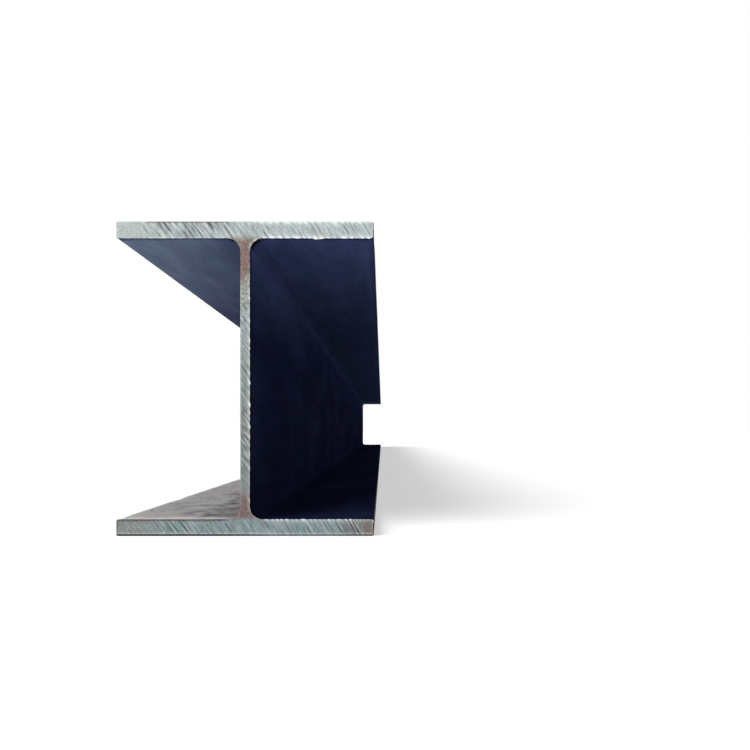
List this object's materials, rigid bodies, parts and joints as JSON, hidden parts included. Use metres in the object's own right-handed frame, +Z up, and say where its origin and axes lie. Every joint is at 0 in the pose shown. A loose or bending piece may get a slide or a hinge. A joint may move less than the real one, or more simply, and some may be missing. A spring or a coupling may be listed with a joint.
{
  "type": "steel h-beam",
  "caption": "Straight hot-rolled steel H-beam: two parallel flanges joined by a web with root fillets, sawn square at both ends; carries load as a beam or column.",
  "frame": {"origin": "middle of the lower flange's underside, halfway along the beam", "axes": "+Y along the beam towards the far sawn end, +X across the flanges, +Z up the web"},
  "size_m": [0.254, 6, 0.31],
  "materials": {
    "rolled_steel": "blue-black mill scale, satin, with pale saw-cut ends"
  },
  "bodies": {
    "root": {"h_beam": "rolled_steel"}
  },
  "joints": []
}
